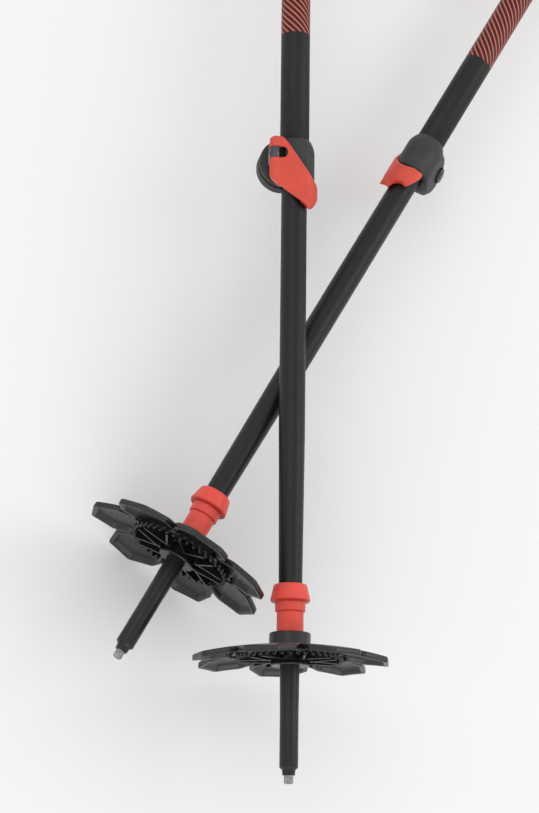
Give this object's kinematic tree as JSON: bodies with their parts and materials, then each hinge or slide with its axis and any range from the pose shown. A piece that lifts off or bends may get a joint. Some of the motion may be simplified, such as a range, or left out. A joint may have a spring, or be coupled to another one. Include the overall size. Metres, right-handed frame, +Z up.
{
  "type": "trekking poles",
  "caption": "Pair of two-section adjustable trekking poles lying crossed, with snow baskets, cam-lever clamps, foam-sleeved grips and wrist straps.",
  "frame": {"origin": "middle of the pair's bounding box, on the floor that the poles lie on", "axes": "+Z up; +Y along the right pole from its tip towards its grip, the longest side; +X to the right, where the left pole's grip lies"},
  "size_m": [0.5384, 0.9492, 0.1206],
  "materials": {
    "carbide": "ground",
    "tip_plastic": "satin",
    "basket_plastic": "satin moulded",
    "ferrule_plastic": "satin moulded",
    "lower_tube": "painted satin black",
    "upper_tube": "painted satin with a line print",
    "nylon": "plain",
    "clamp_plastic": "fine grain",
    "steel": "brushed",
    "dark_steel": "blackened",
    "lever_plastic": "satin moulded",
    "nut_alloy": "anodised",
    "cap_plastic": "fine grain",
    "grip_foam": "closed-cell foam",
    "grip_rubber": "soft rubber",
    "webbing": "woven"
  },
  "bodies": {
    "left_lower": {"left_carbide_tip": "carbide", "left_tip_section": "tip_plastic", "left_basket": "basket_plastic", "left_ferrule": "ferrule_plastic", "left_lower_shaft": "lower_tube", "left_shaft_plug": "nylon"},
    "left_ring": {"left_guide_ring": "nylon"},
    "left_upper": {"left_upper_shaft": "upper_tube", "left_clamp_housing": "clamp_plastic", "left_clamp_plate": "steel", "left_clamp_bolt": "dark_steel", "left_clamp_pin": "steel", "left_extension_collar": "cap_plastic", "left_grip_extension": "grip_foam", "left_grip": "grip_rubber", "left_grip_cap": "cap_plastic", "left_strap_pin": "steel", "left_strap_wedge": "cap_plastic", "left_wrist_strap": "webbing"},
    "left_lever": {"left_clamp_lever": "lever_plastic"},
    "left_nut": {"left_clamp_nut": "nut_alloy"},
    "right_lower": {"right_carbide_tip": "carbide", "right_tip_section": "tip_plastic", "right_basket": "basket_plastic", "right_ferrule": "ferrule_plastic", "right_lower_shaft": "lower_tube", "right_shaft_plug": "nylon"},
    "right_ring": {"right_guide_ring": "nylon"},
    "right_upper": {"right_upper_shaft": "upper_tube", "right_clamp_housing": "clamp_plastic", "right_clamp_plate": "steel", "right_clamp_bolt": "dark_steel", "right_clamp_pin": "steel", "right_extension_collar": "cap_plastic", "right_grip_extension": "grip_foam", "right_grip": "grip_rubber", "right_grip_cap": "cap_plastic", "right_strap_pin": "steel", "right_strap_wedge": "cap_plastic", "right_wrist_strap": "webbing"},
    "right_lever": {"right_clamp_lever": "lever_plastic"},
    "right_nut": {"right_clamp_nut": "nut_alloy"}
  },
  "joints": [
    {"name": "right_lift", "type": "slide", "parent": "left_lower", "child": "right_lower", "axis": [0, 0, 1], "range_m": [0, 0.3]},
    {"name": "left_twist", "type": "hinge", "parent": "left_lower", "child": "left_ring", "pos_m": [0.18816, 0.35273, 0.02046], "axis": [0.5006, 0.8649, -0.0365], "continuous": true},
    {"name": "left_extend", "type": "slide", "parent": "left_ring", "child": "left_upper", "axis": [0.5006, 0.8649, -0.0365], "range_m": [0, 0.5]},
    {"name": "left_lever_open", "type": "hinge", "parent": "left_upper", "child": "left_lever", "pos_m": [-0.08752, -0.12039, 0.02582], "axis": [-0.5006, -0.8649, 0.0365], "range_deg": [0, 110]},
    {"name": "left_nut_turn", "type": "hinge", "parent": "left_upper", "child": "left_nut", "pos_m": [-0.07166, -0.12914, 0.03585], "axis": [0.7658, -0.4228, 0.4845], "continuous": true},
    {"name": "right_twist", "type": "hinge", "parent": "right_lower", "child": "right_ring", "pos_m": [-0.16664, 0.41001, 0.02145], "axis": [0, 0.9983, -0.058], "continuous": true},
    {"name": "right_extend", "type": "slide", "parent": "right_ring", "child": "right_upper", "axis": [0, 0.9983, -0.058], "range_m": [0, 0.5]},
    {"name": "right_lever_open", "type": "hinge", "parent": "right_upper", "child": "right_lever", "pos_m": [-0.17997, -0.13611, 0.05939], "axis": [0, -0.9983, 0.058], "range_deg": [0, 110]},
    {"name": "right_nut_turn", "type": "hinge", "parent": "right_upper", "child": "right_nut", "pos_m": [-0.17627, -0.13729, 0.03905], "axis": [0.1788, -0.057, -0.9822], "continuous": true}
  ]
}
